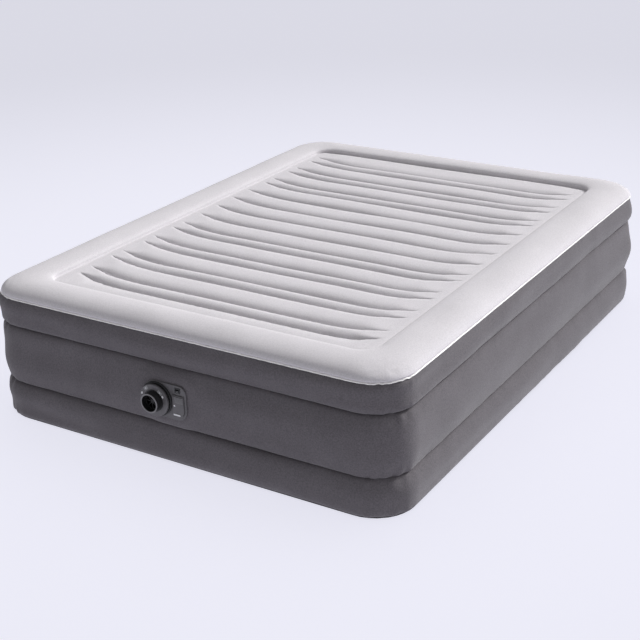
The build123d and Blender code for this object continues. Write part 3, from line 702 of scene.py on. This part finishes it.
def build_belts():
    """Flat belts inside the wall's two grooves."""
    plan = wall_outline.at(WELD_X, WELD_Y, WELD_CORNER)
    for name, node in (("belt_low", "belt_lower"), ("belt_high", "belt_upper")):
        low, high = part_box(node)
        rows = []
        for t in np.linspace(0, 1, BELT_ROWS):
            inset = (WELD_X - high.x) + GROOVE_CREASE + BELT_WIDTH * t
            place = wall_outline.at(WELD_X, WELD_Y, WELD_CORNER, -inset)
            sag = BELT_SAG * math.sin(math.pi * t / 2) * waves(plan, 0.2, 90)
            rows.append(np.column_stack([place, (low.z + high.z) / 2 + sag]))
        belt = mesh_object(name, np.concatenate(rows), strip_faces(BELT_ROWS, WALL_POINTS, True), web_cloth)
        thicken(belt, high.z - low.z)
        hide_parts(node)
        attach(belt, "pump_band")


# ---------------------------------------------------------------- the pump's small parts and markings
def on_pump(x, y, out):
    """A place given from the dial's axis: across, up, and out from the back of the faceplate."""
    return (DIAL_X + x, WALL_AT_PLATE - out, DIAL_Z + y)


def lathe(name, profile, radius_at, count, material):
    """A closed ring round the dial's axis from (radius, out) pairs, and a change of radius by angle."""
    full_at = 0.009  # the change counts in full this far out from the section's inner edge
    points = []
    for radius, out in profile:
        for k in range(count):
            angle = 2 * math.pi * k / count
            r = radius + radius_at(angle) * (radius - profile[0][0]) / full_at
            points.append(on_pump(r * math.cos(angle), r * math.sin(angle), out))
    faces = strip_faces(len(profile) + 1, count, True) % (len(profile) * count)
    return mesh_object(name, points, faces, material)


def pad(name, outline, low, high, material, edge=0.0003):
    """A thin raised pad with a softened edge, from a convex outline of (across, up) pairs."""
    outline = np.array(outline)
    middle = outline.mean(axis=0)
    spokes = outline - middle
    inner = middle + spokes * (1 - edge / np.linalg.norm(spokes, axis=1, keepdims=True))
    rings = [(outline, low), (outline, high - edge), (inner, high)]
    points = [on_pump(x, y, out) for ring, out in rings for x, y in ring]
    count = len(outline)
    faces = [list(f) for f in strip_faces(3, count, True)]
    faces.append(list(range(2 * count, 3 * count)))
    faces.append(list(range(count - 1, -1, -1)))
    return mesh_object(name, points, faces, material, False)


def turned(x, y, a, b, turn):
    """Offsets (a, b) turned by an angle and set at a place."""
    return x + a * math.cos(turn) - b * math.sin(turn), y + a * math.sin(turn) + b * math.cos(turn)


def oval(x, y, half_x, half_y, turn=0.0, count=28):
    """Outline of an ellipse about a place, turned by an angle."""
    angles = np.arange(count) * 2 * math.pi / count
    return np.stack(turned(x, y, half_x * np.cos(angles), half_y * np.sin(angles), turn), -1)


def rounded(x, y, half_x, half_y, corner, turn=0.0):
    """Outline of a rounded rectangle about a place, turned by an angle."""
    points = []
    for k, (sx, sy) in enumerate(((1, 1), (-1, 1), (-1, -1), (1, -1))):
        for t in range(6):
            angle = math.pi / 2 * (k + t / 5)
            a = sx * (half_x - corner) + corner * math.cos(angle)
            b = sy * (half_y - corner) + corner * math.sin(angle)
            points.append(turned(x, y, a, b, turn))
    return points


def add_detail(obj, body):
    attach(obj, body)


def add_mark(name, outline, low, high, material, body, edge=0.0003):
    add_detail(pad(name, outline, low, high, material, edge), body)


SUNK = 0.0004  # the marks reach this far into the piece that they sit on
GRIP_PROFILE = [
    (0.0418, 0.0128),
    (0.0500, 0.0128),
    (0.0516, 0.0138),
    (0.0518, 0.0155),
    (0.0516, 0.0170),
    (0.0502, 0.0178),
    (0.0418, 0.0178),
]
GRIP_RIBS, GRIP_RIB_HEIGHT, GRIP_POINTS = 36, 0.0009, 432
ARROW_SIZE, ARROW_SPREAD = 0.0034, 2.3  # middle to tips, and the angle from its point to the others
DOOR_RIBS, DOOR_RIB_FIRST, DOOR_RIB_PITCH = 6, 0.0045, 0.0032


def build_dial_details():
    """The grip ring, and on the dial's face two worn pads with a plain arrow each, and two dots."""

    def rib_height(angle):
        return GRIP_RIB_HEIGHT * math.cos(GRIP_RIBS * angle)

    grip = lathe("grip_ring", GRIP_PROFILE, rib_height, GRIP_POINTS, black_plastic)
    add_detail(grip, "dial")
    face = WALL_AT_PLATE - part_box("mode_dial")[0].y
    for name, degrees, radius, heading in (("left", 127, 0.0440, math.pi), ("right", 51, 0.0395, 0)):
        angle = math.radians(degrees)
        x, y = radius * math.cos(angle), radius * math.sin(angle)
        turn = angle - math.pi / 2
        patch = rounded(x, y, 0.0085, 0.0056, 0.002, turn)
        add_mark(f"dial_pad_{name}", patch, face - SUNK, face + 0.0004, print_grey, "dial")
        tips = [turn + (heading + t) for t in (0, ARROW_SPREAD, -ARROW_SPREAD)]
        arrow = [(x + ARROW_SIZE * math.cos(t), y + ARROW_SIZE * math.sin(t)) for t in tips]
        add_mark(f"dial_arrow_{name}", arrow, face, face + 0.0006, print_white, "dial", 0.0002)
    for name, x, y, turn in (("left", -0.0425, 0.0165, 1.1), ("right", 0.0345, 0.0195, 1.9)):
        dot = oval(x, y, 0.0046, 0.0030, turn)
        add_mark(f"dial_dot_{name}", dot, face - SUNK, face + 0.0005, print_white, "dial")


def build_door_details():
    """A ribbed band across the cord door, a latch tab and a dot."""
    low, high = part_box("cord_door")
    face = WALL_AT_PLATE - low.y
    left, right = low.x - DIAL_X, high.x - DIAL_X
    for k in range(DOOR_RIBS):
        y = DOOR_RIB_FIRST + DOOR_RIB_PITCH * k
        rib = rounded((left + right) / 2 + 0.004, y, (right - left) / 2 - 0.006, 0.0010, 0.0009)
        add_mark(f"door_rib_{k + 1}", rib, face - SUNK, face + 0.0008, trim_grey, "cord_door")
    latch = rounded(0.0745, -0.0365, 0.0125, 0.0024, 0.0012)
    add_mark("door_latch", latch, face - SUNK, face + 0.0016, print_white, "cord_door", 0.0006)
    dot = oval(0.0665, -0.0075, 0.0030, 0.0026)
    add_mark("door_dot", dot, face - SUNK, face + 0.0005, print_white, "cord_door")


def build_grip_pad():
    """A small oval pad on the grip ring's right side."""
    add_mark("grip_pad", oval(0.0495, 0.0, 0.0016, 0.0060), 0.0170, 0.0184, print_grey, "dial", 0.0004)


def build_rocker_marks():
    """A bar for on and a ring for off, on the two slopes of the rocker's raised and pressed halves."""
    low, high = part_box("rocker_button")
    x, middle_y = (low.x + high.x) / 2 - DIAL_X, (low.z + high.z) / 2 - DIAL_Z
    crest = WALL_AT_PLATE - low.y
    tilt, rise = math.radians(6), math.atan2(0.0014, 0.004)
    height = 0.00012
    for name, side in (("on", 1), ("off", -1)):
        slope = math.tan(rise * side + tilt)
        y = middle_y + 0.0021 * side
        fall = 0.0019 * abs(slope)
        if name == "on":
            out = crest - fall
            outer = np.array(rounded(x, y, 0.0004, 0.0011, 0.0003))
            opening = 0.3
        else:
            out = crest - (0.00085 + fall)
            outer = np.array(oval(x, y, 0.0012, 0.0012))
            opening = 0.62
        inner = np.array([x, y]) + (outer - (x, y)) * opening
        rings = [(outer, -SUNK), (outer, height), (inner, height), (inner, -SUNK)]
        points = [on_pump(u, v, out + (v - y) * slope + lift) for ring, lift in rings for u, v in ring]
        faces = strip_faces(5, len(outer), True) % (4 * len(outer))
        mark = mesh_object(f"rocker_{name}", points, faces, print_white, False)
        add_detail(mark, "rocker")


def build_valve_spring():
    """The check valve's coil spring, fixed to the pump's band."""
    low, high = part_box("valve_spring")
    wire, turns, steps, sides = 0.0006, 5, 28, 8
    radius = (high.x - low.x) / 2 - wire
    middle_x, middle_z = (low.x + high.x) / 2, (low.z + high.z) / 2
    share = np.linspace(0, 1, turns * steps + 1)[:, None]
    around = 2 * math.pi * np.arange(sides)[None, :] / sides
    reach = radius + wire * np.cos(around)
    x = middle_x + reach * np.cos(2 * math.pi * turns * share)
    z = middle_z + reach * np.sin(2 * math.pi * turns * share)
    y = low.y + wire + (high.y - low.y - 2 * wire) * share + wire * np.sin(around)
    points = np.stack([x, y, z], -1).reshape(-1, 3)
    faces = [list(face) for face in strip_faces(len(share), sides, True)]
    faces += [list(range(sides - 1, -1, -1)), list(range(len(points) - sides, len(points)))]
    coil = mesh_object("valve_coil", points, faces, steel)
    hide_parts("valve_spring")
    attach(coil, "pump_band")
    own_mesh(coil)


# ---------------------------------------------------------------- camera, light and floor
CAMERA_PLACE = (2.2067, -3.7207, 1.9494)  # fitted to the photograph, with its turn and its lens
YAW, PITCH, ROLL = -0.5549, 0.4036, -0.0239
SENSOR_WIDTH, LENS = 36, 72.74
FLOOR_COLOR, FLOOR_GLOW_COLOR = (0.50, 0.50, 0.54), (0.895, 0.895, 1.0, 1)
FLOOR_GLOW, FLOOR_FAR_SHARE = 0.73, 0.76
GLOW_NEAR, GLOW_FAR = 1.0, 5.5  # distances between which the floor's glow falls off
FLOOR_SIZE = 40
BRIGHT_SIDE = (0.45, 0.55, 0.70)
DIM_STRENGTH, BRIGHT_STRENGTH = 0.0, 0.56
SKYLINE_LOW, SKYLINE_HIGH, SKYLINE_STRENGTH = 0.06, 0.24, 0.78
KEY_ENERGY, KEY_FROM, KEY_DEGREES = 3.4, (0.40, 0.73, 0.55), 15


def build_camera():
    ahead = Vector((math.sin(YAW) * math.cos(PITCH), math.cos(YAW) * math.cos(PITCH), -math.sin(PITCH)))
    right = Vector((math.cos(YAW), -math.sin(YAW), 0))
    up = right.cross(ahead)
    turned_right = math.cos(ROLL) * right + math.sin(ROLL) * up
    turned_up = -math.sin(ROLL) * right + math.cos(ROLL) * up
    data = bpy.data.cameras.new("camera")
    data.sensor_width = SENSOR_WIDTH
    data.lens = LENS
    camera = bpy.data.objects.new("camera", data)
    rotation = Matrix((turned_right, turned_up, -ahead)).transposed()
    camera.matrix_world = Matrix.Translation(CAMERA_PLACE) @ rotation.to_4x4()
    scene.collection.objects.link(camera)
    scene.camera = camera


def build_floor():
    """A pale floor that glows a little, less so far away."""
    material = node_material("floor", FLOOR_COLOR, 0.9, Specular_IOR_Level=0.1)
    tree = material.node_tree
    place = tree.nodes.new("ShaderNodeTexCoord")
    distance = tree.nodes.new("ShaderNodeVectorMath")
    distance.operation = "LENGTH"
    glow = map_range(tree, GLOW_NEAR, GLOW_FAR, FLOOR_GLOW, FLOOR_GLOW * FLOOR_FAR_SHARE)
    glow.interpolation_type = "SMOOTHSTEP"
    tree.links.new(place.outputs["Object"], distance.inputs[0])
    tree.links.new(distance.outputs["Value"], glow.inputs["Value"])
    shader = tree.nodes["Principled BSDF"]
    shader.inputs["Emission Color"].default_value = FLOOR_GLOW_COLOR
    tree.links.new(glow.outputs["Result"], shader.inputs["Emission Strength"])
    corners = [(x * FLOOR_SIZE, y * FLOOR_SIZE, 0) for x, y in ((-1, -1), (1, -1), (1, 1), (-1, 1))]
    floor = mesh_object("floor", corners, [(0, 1, 2, 3)], material, False)
    return floor


def build_world():
    """A soft surround, brighter from behind the bed, with a pale band along the skyline."""
    world = bpy.data.worlds.new("studio")
    world.use_nodes = True
    tree = world.node_tree
    background = tree.nodes["Background"]
    background.inputs["Color"].default_value = (0.97, 0.97, 1.0, 1)
    direction = tree.nodes.new("ShaderNodeTexCoord")
    facing = tree.nodes.new("ShaderNodeVectorMath")
    facing.operation = "DOT_PRODUCT"
    facing.inputs[1].default_value = Vector(BRIGHT_SIDE).normalized()
    strength = map_range(tree, -1, 1, DIM_STRENGTH, BRIGHT_STRENGTH)
    tree.links.new(direction.outputs["Generated"], facing.inputs[0])
    tree.links.new(facing.outputs["Value"], strength.inputs["Value"])
    split = tree.nodes.new("ShaderNodeSeparateXYZ")
    skyline = map_range(tree, SKYLINE_LOW, SKYLINE_HIGH, SKYLINE_STRENGTH, 0.0)
    brighter = tree.nodes.new("ShaderNodeMath")
    brighter.operation = "MAXIMUM"
    tree.links.new(direction.outputs["Generated"], split.inputs["Vector"])
    tree.links.new(split.outputs["Z"], skyline.inputs["Value"])
    tree.links.new(strength.outputs["Result"], brighter.inputs[0])
    tree.links.new(skyline.outputs["Result"], brighter.inputs[1])
    tree.links.new(brighter.outputs["Value"], background.inputs["Strength"])
    scene.world = world


def build_key(floor):
    """A broad sun from behind the bed that leaves the floor alone, so that it casts no shadow there."""
    sun = bpy.data.lights.new("key", "SUN")
    sun.energy = KEY_ENERGY
    sun.angle = math.radians(KEY_DEGREES)
    key = bpy.data.objects.new("key", sun)
    key.rotation_euler = Vector(KEY_FROM).to_track_quat("Z", "Y").to_euler()
    scene.collection.objects.link(key)
    lit = bpy.data.collections.new("lit_by_key")
    lit.objects.link(floor)
    key.light_linking.receiver_collection = lit
    lit.collection_objects[0].light_linking.link_state = "EXCLUDE"


# ---------------------------------------------------------------- putting it together
CAD_MATERIALS = {
    "collar_vinyl": collar_vinyl, "grey_plastic": grey_plastic, "black_plastic": black_plastic,
    "gloss_black": gloss_black, "trim_grey": trim_grey, "seal_rubber": seal_rubber, "steel": steel,
    "motor_steel": motor_steel, "magnet_grey": magnet_grey, "bronze_bush": bronze_bush,
    "copper_armature": copper_armature,
}


def paint_cad():
    """Gives each CAD piece that stays in sight the material of its slot."""
    for part in frame["record"]["subparts"]:
        material = CAD_MATERIALS.get(part["material_slot"])
        if material is None:
            continue
        for slot in frame["nodes"][part["node"]].material_slots:
            slot.material = material


build_camera()
build_key(build_floor())
build_world()
build_top()
build_walls()
build_bead()
build_base()
build_webs()
build_belts()
build_dial_details()
build_door_details()
build_grip_pad()
build_rocker_marks()
build_valve_spring()
paint_cad()
scene.view_settings.view_transform = "Standard"
